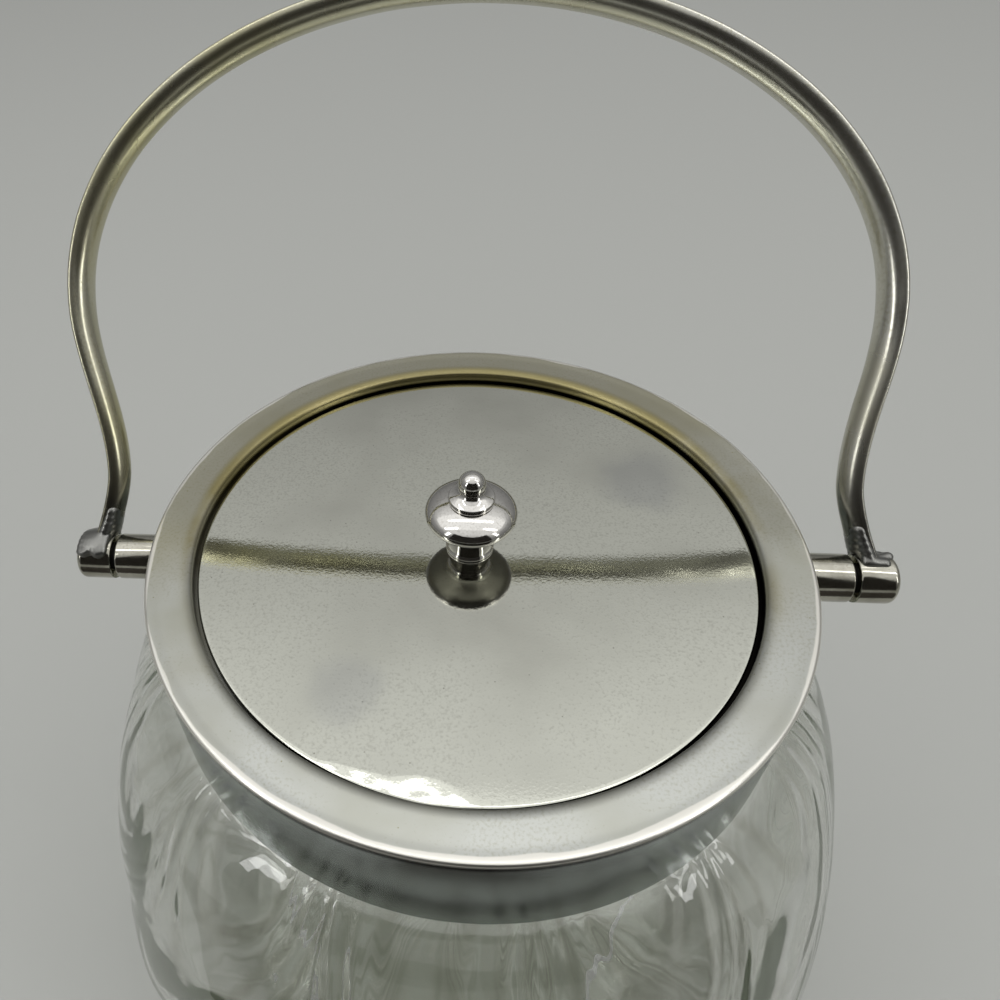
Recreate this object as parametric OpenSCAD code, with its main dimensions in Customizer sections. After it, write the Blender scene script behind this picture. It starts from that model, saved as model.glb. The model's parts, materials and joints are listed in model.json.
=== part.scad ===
// Glass biscuit jar with a plated collar, a drop-in lid with a turned knob and a swing bail handle.
// Millimetres. +Z is up, X runs along the bail's pivots and -Y is the front.
// The origin is the centre of the base.

/* [Glass jar] */
// Widest diameter of the glass body
belly_d = 178.4; // [168:0.2:190]
// Height of the widest place above the table
belly_z = 42; // [36:1:52]
// How far out the rounded shoulder reaches beyond the collar's skirt
shoulder_reach = 17.4; // [14:0.2:20]
// How far the shoulder falls over that reach
shoulder_fall = 6.2; // [4.4:0.2:8]
// Diameter of the ring that the jar stands on
base_d = 116; // [100:1:128]
// Thickness of the glass wall
glass_wall = 3.5; // [2.5:0.1:5]
// Thickness of the glass floor in the middle
glass_floor = 6; // [4:0.5:10]
// How far the floor is pushed up inside the standing ring
push_up = 3; // [1:0.5:6]
// Width of the flat standing ring
base_ring_w = 6; // [3:0.5:9]
// Number of swirled lobes round the body
lobes = 12; // [8:1:14]
// Depth of the creases between the lobes
lobe_depth = 1.4; // [0.6:0.1:1.8]
// Turn of the swirl between the belly and the shoulder, in degrees
lobe_twist = 40; // [0:5:60]

/* [Lid] */
// Diameter of the lid
lid_d = 102; // [96:1:110]
// Height of the lid's top face above the table
lid_z = 150; // [140:1:165]
// Thickness of the lid's sheet
lid_t = 1; // [0.8:0.1:1.4]
// Radial gap between the lid and its recess
lid_gap = 0.6; // [0.3:0.1:1]
// Depth of the locating flange under the lid
lid_flange_h = 6; // [4:0.5:10]
// Thickness of the locating flange
lid_flange_t = 1; // [0.8:0.1:1.5]

/* [Collar] */
// Thickness of the collar's sheet
collar_sheet = 0.8; // [0.6:0.1:1]
// Height of the collar, from its top face to the lower edge of its skirt
collar_h = 22.3; // [20:0.1:26]
// How far the collar's top face stands above the lid
collar_rise = 2.6; // [2.2:0.1:3.4]
// Diameter of the bead round the outer edge of the top face
bead_d = 1.4; // [1.2:0.1:2]
// How far the bead stands out from the skirt
bead_out = 0.2; // [0.1:0.05:0.4]
// Outer radius of the roll between top face and lid recess
lip_round = 2; // [1.4:0.1:2.4]
// Width of the ledge that the lid rests on
ledge_w = 4; // [3:0.1:5]
// Thickness of the plaster bedding between glass and skirt
bed_w = 2.8; // [2.8:0.1:4.5]

/* [Pivots] */
// Diameter of the trunnion bosses and of the hubs
boss_d = 9; // [7.5:0.1:10]
// Length of a boss, from the skirt to its outer end
boss_l = 9.4; // [8:0.1:12]
// Depth of the pivot line below the collar's top face
pivot_drop = 8.8; // [7:0.1:11]
// Gap between boss and hub, held by a spacer washer
pivot_gap = 0.9; // [0.8:0.1:1.6]
// Length of a hub
hub_l = 7; // [6.2:0.1:9]
// Radius of the hub's rounded outer edge
hub_round = 1.2; // [0.6:0.1:1.6]
// Diameter of the pivot pins
pin_d = 3; // [2.4:0.1:3.4]
// Diameter of the spacer washers
spacer_d = 5.8; // [5:0.1:6.4]

/* [Bail] */
// Outside width of the bail at its widest place
bail_w = 151.2; // [144:0.2:160]
// Height of the bail's outer face above the pivot line
bail_h = 105.4; // [95:0.2:120]
// Height of the widest place above the pivot line
bail_wide_z = 50; // [44:1:58]
// Height of the waist above the pivot line
waist_z = 17; // [14:0.5:22]
// How far the waist's outer face lies inside the feet's
waist_in = 4.1; // [2:0.1:5]
// Width of the half-round bar at the crown
bar_w = 6.9; // [5.5:0.1:8]
// Width of the half-round bar at its feet
bar_foot_w = 5.6; // [5:0.1:7]
// Thickness of the half-round bar at the crown
bar_t = 3.9; // [3:0.1:4.5]
// Thickness of the half-round bar at its feet
bar_foot_t = 3.2; // [2.6:0.1:3.6]
// Radius of the bar's two outer corners
bar_corner = 0.7; // [0.4:0.1:1]
// Sideways sway of the crown, negative to the left
sway = -3.5; // [-5:0.5:5]
// Lean of the bail towards the back at rest, in degrees
rest_lean = 36; // [0:1:60]

/* [Knob] */
// Diameter of the knob's mushroom disc
disc_d = 16.6; // [14:0.1:20]
// Height of the disc's widest edge above the lid
disc_z = 8.8; // [8:0.1:10]
// Rise of the disc's dome above its widest edge
dome_h = 3.3; // [2.6:0.1:4]
// Diameter of the foot
foot_d = 8.9; // [8:0.1:11]
// Diameter of the waist between foot and disc
knob_waist_d = 7.2; // [5.8:0.1:7.6]
// Diameter of the bell's lower rim, on top of the disc
bell_d = 8.3; // [7:0.1:9]
// Height of the bell's upright rim
bell_rim = 1.2; // [0.8:0.1:1.6]
// Rise of the bell's slope above its rim
bell_slope = 1.3; // [0.8:0.1:2]
// Diameter of the ball on top
ball_d = 5; // [4.2:0.1:5.4]
// Diameter of the stud that holds the knob
stud_d = 3.8; // [3:0.1:4]
// Depth of the stud's hole in the knob
stud_in = 5; // [4:0.1:6]

/* [Hidden] */
$fn = 96;
eps = 0.01;

// Clearances
neck_gap = 0.3;       // glass mouth to the recess wall inside it
shoulder_gap = 0.35;  // skirt's lower edge to the glass shoulder
run_clear = 0.05;     // pins in the bores they turn in, on the radius
fit_clear = 0.02;     // pins and studs in the holes that hold them, on the radius
hole_clear = 0.2;     // pins and studs through sheet metal, on the radius
swing_clear = 0.45;   // bail's feet over the bosses
head_gap = 0.05;      // between the pin's head, its washer and the spacer
end_gap = 0.3;        // between the stud's end and the bottom of its hole
root_gap = 0.4;       // glass shoulder's inner end outside the skirt
pocket_gap = 0.5;     // round the pins' washers in the bedding

// Collar, recess and neck
recess_r = lid_d / 2 + lid_gap;
neck_in_r = recess_r + collar_sheet + neck_gap;
neck_r = neck_in_r + glass_wall;
collar_in_r = neck_r + bed_w;
skirt_r = collar_in_r + collar_sheet;
collar_r = skirt_r + bead_out;
collar_top = lid_z + collar_rise;
collar_bottom = collar_top - collar_h;
ledge_top = lid_z - lid_t;
rim_round = glass_wall * 0.4;
bead_r = bead_d / 2;
bead_turn = 40;       // how far the bead's inner side turns down into the groove beside it, in degrees
groove_w = 0.35;      // from the bead to the flat face
groove_drop = 0.1;    // depth of the flat face below the bead's top
face_z = collar_top - groove_drop;
lip = [recess_r + lip_round, face_z - lip_round];

// Glass body
belly_r = belly_d / 2;
base_r = base_d / 2;
root_r = skirt_r + root_gap;
root_z = collar_bottom - shoulder_gap - 0.2;
belly_pull = (root_z - belly_z) * 0.25;
swirl_top = root_z - 10;
neck_start_z = root_z + 5;
rim_z = face_z - collar_sheet;
lobe_sides = 6;       // facets across one lobe
foot_fade = 8;        // height at which the creases begin
full_z = 34;          // height from which they have their full depth
shoulder_fade = 18;   // this far under the skirt they start to run out again

// Pivots
pivot_z = collar_top - pivot_drop;
boss_r = boss_d / 2;
pin_r = pin_d / 2;
boss_end = skirt_r + boss_l;
hub_in = boss_end + pivot_gap;
hub_out = hub_in + hub_l;
washer_t = 0.6;
washer_r = pin_r * 2.1;
head_t = 1.1;
head_r = pin_r * 1.6;
washer_out = sqrt(pow(collar_in_r, 2) - pow(washer_r, 2)) - head_gap;
pin_in_hub = hub_l * 0.6;
edge_cut = 0.4;       // bevel on the edges that face each other
end_turn = 80;        // how far a hub's outer edge is rounded, in degrees, before its slightly domed end
end_bulge = 0.3;
spacer_t = pivot_gap - 2 * head_gap;

// Bail, seen in its own plane: x across, z up from the pivot line
bail_r = bail_w / 2;
bail_rise = bail_h - bail_wide_z;
foot_x = hub_in + hub_l * 0.6;
waist_x = foot_x - waist_in;
foot_z = boss_r * 0.6;
foot_curl = 1.5;      // power of the curve from the waist out to a foot
sway_curl = 1.3;      // power of the sideways sway over the height
solder_wrap = 0.5;    // solder round the bar
solder_edge = 0.3;    // solder's distance from the hub's inner end
solder_climb = 9;     // height of the solder on the bar, above the pivot line
arch_steps = 36;
side_steps = 12;
foot_steps = 6;

// Knob
knob_waist_z = disc_z * 0.48;
bell_z = disc_z + dome_h * sqrt(1 - pow(bell_d / disc_d, 2));
bell_top = bell_z + bell_rim + bell_slope;
ball_neck_r = ball_d * 0.42;
ball_z = bell_top + sqrt(pow(ball_d / 2, 2) - pow(ball_neck_r, 2));
ball_from = 8 - asin((ball_z - bell_top) / (ball_d / 2));  // where the ball's arc begins, in degrees
washer_h = 0.8;
nut_h = 2.8;
nut_flats = stud_d * 1.75;
stud_below = lid_t + washer_h + nut_h + 0.7;

// ---- shared shapes ----

// Points on an arc about c, from angle a to angle b.
function arc(c, rx, rz, a, b, n) =
    [for (i = [0:n]) let (t = a + (b - a) * i / n) [c.x + rx * cos(t), c.y + rz * sin(t)]];

// Points on a cubic curve from p0 to p3, without its first point.
function cubic(p0, p1, p2, p3, n) =
    [for (i = [1:n]) let (t = i / n, s = 1 - t)
        s * s * s * p0 + 3 * s * s * t * p1 + 3 * s * t * t * p2 + t * t * t * p3];

// A curve moved inwards by d along its own normals. It runs upwards on the outer side.
function inset(pts, d) =
    [for (i = [0:len(pts) - 1])
        let (a = pts[max(i - 1, 0)], b = pts[min(i + 1, len(pts) - 1)], t = (b - a) / norm(b - a))
            pts[i] + d * [-t.y, t.x]];

function reversed(v) = [for (i = [len(v) - 1:-1:0]) v[i]];

module lathe(pts) { rotate_extrude($fn = 180) polygon(pts); }

// Children drawn along +X from the jar's axis, on the left (side -1) or right (side 1) pivot line.
module on_pivot(side) {
    translate([0, 0, pivot_z]) rotate([0, 0, side < 0 ? 180 : 0]) rotate([0, 90, 0]) children();
}

// ---- glass jar ----

// From the standing ring to the belly, then in one sweep over the shoulder to the skirt's lower edge.
function body_curve() = concat(
    arc([base_r, belly_z], belly_r - base_r, belly_z, -90, 0, 9),
    cubic([belly_r, belly_z], [belly_r, belly_z + belly_pull],
          [root_r + shoulder_reach, root_z - shoulder_fall], [root_r, root_z], 17));

// In under the skirt's lower edge and up to the straight neck.
function neck_curve() = cubic(
    [root_r, root_z], [root_r - 2, root_z + 0.5], [neck_r, root_z + 1.2], [neck_r, neck_start_z], 5);

function rim_curve() = concat(
    arc([neck_r - rim_round, rim_z - rim_round], rim_round, rim_round, 0, 90, 3),
    arc([neck_in_r + rim_round, rim_z - rim_round], rim_round, rim_round, 90, 180, 3));

// 0 below a, 1 above b, and smooth between them.
function ease(x, a, b) = let (t = min(max((x - a) / (b - a), 0), 1)) t * t * (3 - 2 * t);

// Full creases on the flank, none at the foot and under the collar.
function crease(z) =
    lobe_depth * ease(z, foot_fade, full_z) * (1 - ease(z, root_z - shoulder_fade, root_z));

// The swirl's turn at height z, in degrees.
function swirl(z) = lobe_twist * ease(z, foot_fade, swirl_top);

// A closed ring of points: lobes stand out between creases that run up the jar in a spiral.
function lobed_ring(p, depth) =
    [for (j = [0:lobes * lobe_sides - 1])
        let (a = 360 * j / (lobes * lobe_sides) + swirl(p.y),
             r = p.x - depth * (1 - sin(180 * (j % lobe_sides) / lobe_sides)))
            [r * cos(a), r * sin(a), p.y]];

// Rings of points joined to a closed skin, with flat ends.
module skin(rings) {
    n = len(rings[0]);
    m = len(rings);
    polyhedron(
        points = [for (ring = rings) each ring],
        faces = concat(
            [[for (j = [0:n - 1]) j]],
            [[for (j = [n - 1:-1:0]) (m - 1) * n + j]],
            [for (i = [0:m - 2], j = [0:n - 1]) let (k = (j + 1) % n)
                each [[i * n + j, (i + 1) * n + j, (i + 1) * n + k],
                      [i * n + j, (i + 1) * n + k, i * n + k]]]));
}

module glass_jar() {
    outer = concat(body_curve(), neck_curve());
    floor_z = push_up + glass_floor;
    wall = inset(outer, glass_wall);
    inner = [for (i = [0:2:len(wall) - 1]) if (wall[i].y > floor_z + 1 && wall[i].y < neck_start_z) wall[i]];
    inside = concat(rim_curve(), [[neck_in_r, neck_start_z]], reversed(inner), [[inner[0].x - 1, floor_z]]);
    ring_in_r = base_r - base_ring_w;
    color([0.86, 0.93, 0.92, 0.4])
        difference() {
            skin(concat(
                [for (p = outer) lobed_ring(p, crease(p.y))],
                [for (p = inside) lobed_ring(p, 0)]));
            translate([0, 0, -1])
                cylinder(r1 = ring_in_r + (push_up + 1) / 2, r2 = ring_in_r, h = push_up + 1);
        }
}

module plaster_bedding() {
    neck = [for (p = neck_curve()) if (p.y > collar_bottom + 1) [p.x + eps, p.y]];
    bed_top = collar_top - bead_d - collar_sheet;
    color("gainsboro")
        difference() {
            lathe(concat(neck, [[neck_r + eps, bed_top], [collar_in_r - eps, bed_top],
                                [collar_in_r - eps, neck[0].y]]));
            for (side = [-1, 1]) on_pivot(side) cylinder(r = washer_r + pocket_gap, h = skirt_r);
        }
}

// ---- collar: top face with a beaded edge, skirt, and the recess with its ledge ----

// Outside of the sheet: up the skirt, round the bead and over the groove onto the flat face.
function collar_skin() =
    let (bead = [collar_r - bead_r, collar_top - bead_r])
        concat(
            [[skirt_r, collar_bottom]],
            arc(bead, bead_r, bead_r, -acos((bead_r - bead_out) / bead_r), 90 + bead_turn, 14),
            [[collar_r - bead_d - groove_w, face_z]],
            arc(lip, lip_round, lip_round, 90, 180, 10),
            [[recess_r, ledge_top]]);

module collar() {
    s = collar_sheet;
    color("silver")
        difference() {
            lathe(concat(
                [[collar_in_r, collar_bottom]],
                collar_skin(),
                [[recess_r - ledge_w, ledge_top], [recess_r - ledge_w, ledge_top - s],
                 [recess_r + s, ledge_top - s]],
                arc(lip, lip_round - s, lip_round - s, 180, 90, 8),
                [[collar_r - bead_d, face_z - s], [collar_in_r, collar_top - bead_d]]));
            for (side = [-1, 1]) on_pivot(side) cylinder(r = pin_r + hole_clear, h = collar_r + 5);
        }
}

// ---- pivots ----

module boss(side) {
    color("silver")
        difference() {
            on_pivot(side) {
                cylinder(r = boss_r, h = boss_end - edge_cut);
                cylinder(r = boss_r - edge_cut, h = boss_end);
            }
            cylinder(r = skirt_r, h = collar_top + boss_d);
            on_pivot(side) cylinder(r = pin_r + run_clear, h = boss_end + 1);
        }
}

// A flat ring from x to x + t on the pivot line.
module pivot_ring(side, x, t, outer, inner) {
    on_pivot(side) translate([0, 0, x]) difference() {
        cylinder(r = outer, h = t);
        translate([0, 0, -1]) cylinder(r = inner, h = t + 2);
    }
}

module spacer(side) {
    color("dimgray") pivot_ring(side, boss_end + head_gap, spacer_t, spacer_d / 2, pin_r + run_clear);
}

module pin_washer(side) {
    color("darkkhaki") pivot_ring(side, washer_out - washer_t, washer_t, washer_r, pin_r + run_clear);
}

// The pin is fast in the hub, turns in the boss and is headed over its washer inside the skirt.
module pin(side) {
    head_out = washer_out - washer_t - head_gap;
    color("lightsteelblue") on_pivot(side) {
        translate([0, 0, head_out - head_t]) cylinder(r = head_r, h = head_t);
        translate([0, 0, head_out - eps]) cylinder(r = pin_r, h = hub_in + pin_in_hub - head_out);
    }
}

module hub(side) {
    color("silver") on_pivot(side) rotate_extrude() polygon(concat(
        [[pin_r + fit_clear, hub_in], [boss_r - edge_cut, hub_in], [boss_r, hub_in + edge_cut]],
        arc([boss_r - hub_round, hub_out - hub_round - end_bulge], hub_round, hub_round, 0, end_turn, 8),
        [[0, hub_out], [0, hub_in + pin_in_hub + 0.1], [pin_r + fit_clear, hub_in + pin_in_hub + 0.1]]));
}

// ---- bail: a half-round bar, flat side out, swept along a foot, a waist and an arch ----

// Outer face at height z, between foot and waist.
function foot_at(z) = waist_x + (foot_x - waist_x) * pow((waist_z - z) / (waist_z - foot_z), foot_curl);

// Sideways sway at height z.
function shift(z) = sway * pow(z / bail_h, sway_curl);

// Outer face of the right-hand side, from the foot up to the crown.
function foot_path() =
    [for (i = [0:foot_steps - 1]) let (z = foot_z + (waist_z - foot_z) * i / foot_steps) [foot_at(z), z]];

function side_path() =
    let (middle = (bail_r + waist_x) / 2, swing = (bail_r - waist_x) / 2)
        [for (i = [0:side_steps - 1]) let (t = i / side_steps)
            [middle - swing * cos(180 * t), waist_z + (bail_wide_z - waist_z) * t]];

function arch_path() = arc([0, bail_wide_z], bail_r, bail_rise, 0, 90, arch_steps);

function bail_path() =
    let (half = concat(foot_path(), side_path(), arch_path()),
         whole = concat(half, [for (i = [len(half) - 2:-1:0]) [-half[i].x, half[i].y]]))
        [for (p = whole) [p.x + shift(p.y), p.y]];

// Section of width w and thickness t, as [distance inwards from the outer face, place across the bar].
function bar_section(w, t) =
    let (c = bar_corner, h = w / 2)
        concat(
            [for (a = [0:45:90]) [c - c * cos(a), h - c + c * sin(a)]],
            [for (a = [15:15:165]) [c + (t - c) * sin(a), h * cos(a)]],
            [for (a = [90:-45:0]) [c - c * cos(a), -h + c - c * sin(a)]]);

// A size of the bar at height z, which grows from its value at the feet to that of the crown.
function grown(foot, crown, z) = foot + (crown - foot) * min(z / bail_wide_z, 1);

function bail_rings() =
    let (path = bail_path(), last = len(path) - 1)
        [for (i = [0:last])
            let (t0 = path[min(i + 1, last)] - path[max(i - 1, 0)],
                 t = t0 / norm(t0), inward = [-t.y, t.x], p = path[i],
                 section = bar_section(grown(bar_foot_w, bar_w, p.y), grown(bar_foot_t, bar_t, p.y)))
                [for (s = section) [p.x + inward.x * s.x, s.y, p.y + inward.y * s.x]]];

module bail_bar() { skin(bail_rings()); }

// The bail's own plane, leaning back from the pivot line.
module in_bail_plane() {
    translate([0, 0, pivot_z]) rotate([-rest_lean, 0, 0]) children();
}

// What the bail's feet must leave free: the hubs, and the bosses with room to swing.
module pivot_room() {
    for (side = [0, 180]) rotate([0, 0, side]) rotate([0, 90, 0]) {
        cylinder(r = boss_r, h = hub_out);
        cylinder(r = boss_r + swing_clear, h = hub_in);
    }
}

module bail() {
    color("lightgray") in_bail_plane() difference() {
        bail_bar();
        pivot_room();
    }
}

// Solder flowed over the hub's back and up round the foot of the bar.
module solder(side) {
    rings = bail_rings();
    from = side > 0 ? 0 : len(rings) - foot_steps - 2;
    run = hub_l * 0.42;
    bar_x = foot_at(solder_climb) + side * shift(solder_climb) - bar_foot_t / 2;
    color("slategray") in_bail_plane() rotate([0, 0, side < 0 ? 180 : 0]) difference() {
        hull() {
            translate([hub_in + solder_edge + run, 0, boss_r * 0.7])
                scale([run, boss_r * 0.8, boss_r * 0.42]) sphere(1, $fn = 32);
            translate([bar_x, 0, solder_climb])
                scale([bar_foot_t / 2 + solder_wrap, bar_foot_w / 2 + solder_wrap, 1])
                    cylinder(r = 1, h = 0.2, $fn = 32);
        }
        rotate([0, 0, side < 0 ? 180 : 0]) skin([for (i = [0:foot_steps + 1]) rings[from + i]]);
        pivot_room();
    }
}

// ---- lid and knob ----

module lid_plate() {
    r = lid_d / 2;
    edge = lid_t * 0.5;
    color("silver") lathe(concat(
        [[stud_d / 2 + hole_clear, lid_z], [stud_d / 2 + hole_clear, ledge_top], [r, ledge_top]],
        arc([r - edge, lid_z - edge], edge, edge, 0, 90, 6)));
}

module lid_flange() {
    r = recess_r - ledge_w - lid_gap;
    color("silver") lathe([
        [r - lid_flange_t, ledge_top - lid_flange_h], [r, ledge_top - lid_flange_h],
        [r, ledge_top], [r - lid_flange_t, ledge_top]]);
}

function knob_curve() = concat(
    [[foot_d / 2, 0], [foot_d / 2, 0.5], [foot_d / 2 - 0.15, 0.8]],
    cubic([foot_d / 2 - 0.15, 0.8], [foot_d / 2 - 0.5, 1.6], [knob_waist_d / 2, knob_waist_z - 1],
          [knob_waist_d / 2, knob_waist_z], 6),
    cubic([knob_waist_d / 2, knob_waist_z], [knob_waist_d / 2, knob_waist_z + 2.2],
          [disc_d / 2, disc_z - 2.4], [disc_d / 2, disc_z], 10),
    [for (p = arc([0, disc_z], disc_d / 2, dome_h, 6, 90, 21)) if (p.x > bell_d / 2) p],
    [[bell_d / 2, bell_z], [bell_d / 2, bell_z + bell_rim]],
    cubic([bell_d / 2, bell_z + bell_rim], [bell_d / 2 - 1.4, bell_z + bell_rim + 0.3],
          [ball_neck_r + 0.2, bell_top - 0.7], [ball_neck_r, bell_top], 6),
    arc([0, ball_z], ball_d / 2, ball_d / 2, ball_from, 90, 14));

module knob() {
    color("gainsboro") translate([0, 0, lid_z]) difference() {
        lathe(concat([[0, 0]], knob_curve()));
        translate([0, 0, -1]) cylinder(r = stud_d / 2 + fit_clear, h = stud_in + 1);
    }
}

module knob_stud() {
    color("darkkhaki") translate([0, 0, lid_z - stud_below])
        cylinder(r = stud_d / 2, h = stud_below + stud_in - end_gap);
}

module knob_washer() {
    color("darkkhaki") translate([0, 0, ledge_top - washer_h]) difference() {
        cylinder(r = stud_d, h = washer_h);
        translate([0, 0, -1]) cylinder(r = stud_d / 2 + hole_clear, h = washer_h + 2);
    }
}

module knob_nut() {
    color("darkkhaki") translate([0, 0, ledge_top - washer_h - nut_h]) difference() {
        cylinder(d = nut_flats / cos(30), h = nut_h, $fn = 6);
        translate([0, 0, -1]) cylinder(r = stud_d / 2 + fit_clear, h = nut_h + 2);
    }
}

glass_jar();
plaster_bedding();
collar();
boss(-1);  // boss_left
boss(1);  // boss_right
spacer(-1);  // spacer_left
spacer(1);  // spacer_right
pin_washer(-1);  // pin_washer_left
pin_washer(1);  // pin_washer_right
lid_plate();
lid_flange();
knob();
knob_stud();
knob_washer();
knob_nut();
bail();
hub(-1);  // hub_left
hub(1);  // hub_right
solder(-1);  // solder_left
solder(1);  // solder_right
pin(-1);  // pin_left
pin(1);  // pin_right
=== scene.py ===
"""Biscuit jar: swirled glass body, silver-plated collar, drop-in lid with a turned knob, and a swing bail."""

import json
import math

import bmesh
import bpy
from mathutils import Matrix, Vector, noise


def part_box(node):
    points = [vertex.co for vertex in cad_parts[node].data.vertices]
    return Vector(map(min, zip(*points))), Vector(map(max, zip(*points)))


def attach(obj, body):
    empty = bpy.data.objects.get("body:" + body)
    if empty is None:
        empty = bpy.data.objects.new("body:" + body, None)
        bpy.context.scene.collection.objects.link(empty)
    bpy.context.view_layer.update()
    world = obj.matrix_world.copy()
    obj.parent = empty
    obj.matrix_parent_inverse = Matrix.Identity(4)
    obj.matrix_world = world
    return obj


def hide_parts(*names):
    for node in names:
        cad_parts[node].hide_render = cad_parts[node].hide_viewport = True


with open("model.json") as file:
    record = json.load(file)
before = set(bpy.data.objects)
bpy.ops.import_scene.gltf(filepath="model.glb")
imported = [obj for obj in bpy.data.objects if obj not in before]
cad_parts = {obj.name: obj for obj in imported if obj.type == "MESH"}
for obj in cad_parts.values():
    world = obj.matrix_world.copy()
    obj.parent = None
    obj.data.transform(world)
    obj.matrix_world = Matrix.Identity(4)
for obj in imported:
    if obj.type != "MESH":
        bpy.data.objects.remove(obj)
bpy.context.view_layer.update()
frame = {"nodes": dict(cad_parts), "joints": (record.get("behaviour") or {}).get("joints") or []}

MM = 0.001

# ---- sizes, in millimetres, from the frame ----


def span(node):
    """Lowest and highest corner of a node, in millimetres."""
    low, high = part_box(node)
    return Vector(low) / MM, Vector(high) / MM


glass_high = span("glass_jar")[1]
collar_low, collar_high = span("collar")
lid_low, lid_high = span("lid_plate")
knob_high = span("knob")[1]
boss_low, boss_high = span("boss_right")
hub_low, hub_high = span("hub_right")
swing = next(joint for joint in frame["joints"] if joint["name"] == "handle_swing")

BELLY_R = glass_high.x
COLLAR_R = collar_high.x
COLLAR_TOP = collar_high.z
COLLAR_BOTTOM = collar_low.z
LID_R = lid_high.x
LID_TOP = lid_high.z
LID_T = LID_TOP - lid_low.z
PIVOT_Z = swing["pos_m"][2] / MM
BOSS_R = (boss_high.z - boss_low.z) / 2
HUB_IN = hub_low.x
HUB_OUT = hub_high.x
ROOT_Z = COLLAR_BOTTOM - 0.55     # where the glass goes in under the collar
LOBES = 12
LOBE_FOOT = 8.0                   # height at which the lobes begin
LOBE_TWIST = math.radians(40)     # their turn from there to SWIRL_TOP
SWIRL_TOP = ROOT_Z - 10

# ---- small helpers ----

ON_AXIS = 1e-6    # a point nearer to the axis than this lies on it
WELD = 0.0002     # points nearer to each other than this are one


def arc(centre, rx, rz, start, end, steps):
    """Points on an ellipse's arc, angles in degrees."""
    turns = [math.radians(start + (end - start) * i / steps) for i in range(steps + 1)]
    return [(centre[0] + rx * math.cos(t), centre[1] + rz * math.sin(t)) for t in turns]


def cubic(p0, p1, p2, p3, steps):
    """Points on a cubic curve from p0 to p3, without its first point."""
    points = []
    for i in range(1, steps + 1):
        t = i / steps
        s = 1 - t
        weights = (s**3, 3 * s * s * t, 3 * s * t * t, t**3)
        points.append(tuple(sum(w * p[k] for w, p in zip(weights, (p0, p1, p2, p3))) for k in (0, 1)))
    return points


def line(start, end, steps):
    """Points on a straight stretch, without its first point."""
    return [tuple(a + (b - a) * i / steps for a, b in zip(start, end)) for i in range(1, steps + 1)]


def ease(value, low, high):
    """0 below low, 1 above high, and smooth between them."""
    t = min(max((value - low) / (high - low), 0), 1)
    return t * t * (3 - 2 * t)


def new_piece(name, verts, faces, material, sharp=40):
    """A mesh object from points in millimetres, smooth except at edges sharper than so many degrees."""
    mesh = bpy.data.meshes.new(name)
    mesh.from_pydata([Vector(v) * MM for v in verts], [], faces)
    dress(mesh, material, sharp)
    piece = bpy.data.objects.new(name, mesh)
    bpy.context.scene.collection.objects.link(piece)
    return piece


def dress(mesh, material, sharp):
    """Outward faces, smooth shading with sharp creases, one material."""
    work = bmesh.new()
    work.from_mesh(mesh)
    bmesh.ops.remove_doubles(work, verts=work.verts, dist=WELD * MM)
    bmesh.ops.recalc_face_normals(work, faces=work.faces)
    work.to_mesh(mesh)
    work.free()
    mesh.shade_smooth()
    mesh.set_sharp_from_angle(angle=math.radians(sharp))
    mesh.materials.clear()
    mesh.materials.append(material)


def turned(name, outline, material, turns=256, place=None, sharp=40):
    """A closed solid of revolution about Z. place(r, z, angle) may move a point of the outline."""
    verts, rings = [], []
    for r, z in outline:
        if r < ON_AXIS:
            rings.append([len(verts)] * turns)
            verts.append((0, 0, z))
            continue
        rings.append(range(len(verts), len(verts) + turns))
        for i in range(turns):
            angle = 2 * math.pi * i / turns
            rr, zz = place(r, z, angle) if place else (r, z)
            verts.append((rr * math.cos(angle), rr * math.sin(angle), zz))
    faces = []
    closed = outline[0][0] > ON_AXIS or outline[-1][0] > ON_AXIS
    for i in range(len(rings) if closed else len(rings) - 1):
        low, high = rings[i], rings[(i + 1) % len(rings)]
        for j in range(turns):
            k = (j + 1) % turns
            corners = []
            for corner in (low[j], low[k], high[k], high[j]):
                if corner not in corners:
                    corners.append(corner)
            if len(corners) > 2:
                faces.append(corners)
    return new_piece(name, verts, faces, material, sharp)


def to_pivot(piece, side):
    """Turn a piece made about Z onto the pivot line, its +Z pointing outwards on that side."""
    turn = Matrix.Rotation(math.radians(90 * side), 4, "Y")
    piece.data.transform(Matrix.Translation((0, 0, PIVOT_Z * MM)) @ turn)
    return piece


# ---- materials ----

# The kinds of node that most materials are built from. RANGE takes a value, where it starts and ends, and
# what it gives there, which is 0 and 1 where nothing else is said.
MATH, RANGE, MIX, NOISE = "ShaderNodeMath", "ShaderNodeMapRange", "ShaderNodeMix", "ShaderNodeTexNoise"
SMOOTH = {"interpolation_type": "SMOOTHSTEP"}

# Silver plate: levels of the noise between which a tarnished patch, a pit and the haze come in, and how dark
# the pits and specks get. Specks are drawn coarser than they are, so that they show.
PATCH_FADE = (0.45, 0.72)
PIT_FADE = (0.48, 0.8)
PIT_DARK = 0.42
SPECK_APART = 3.0
SPECK_FADE = (0.06, 0.03)
SPECK_DARK = 0.8
HAZE_FADE = (0.3, 0.7)
GRAIN_RELIEF = 0.05

# Cords in the glass.
LOOP_SAG = 260.0      # rise of a cord's loop from a lobe's middle to its creases, times four
LOOP_STRAY = 45.0     # how far the cords stray from even loops
FOLD_PITCH = 26.0     # from one broad fold to the next
THREAD_PITCH = 12.0   # from one fine thread to the next
THREAD_SHARE = 0.15   # height of the threads, against that of the folds
CORD_RELIEF = 0.045   # height of the cords on the skin

# Stains on the lid: place, radius and strength of each, and how far their edges wander.
STAINS = (((-19.9, -32.4), 8.0, 0.24), ((33.9, 18.8), 11.0, 0.34))
STAIN_Z = 150.0
STAIN_WANDER = 6.0


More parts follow.
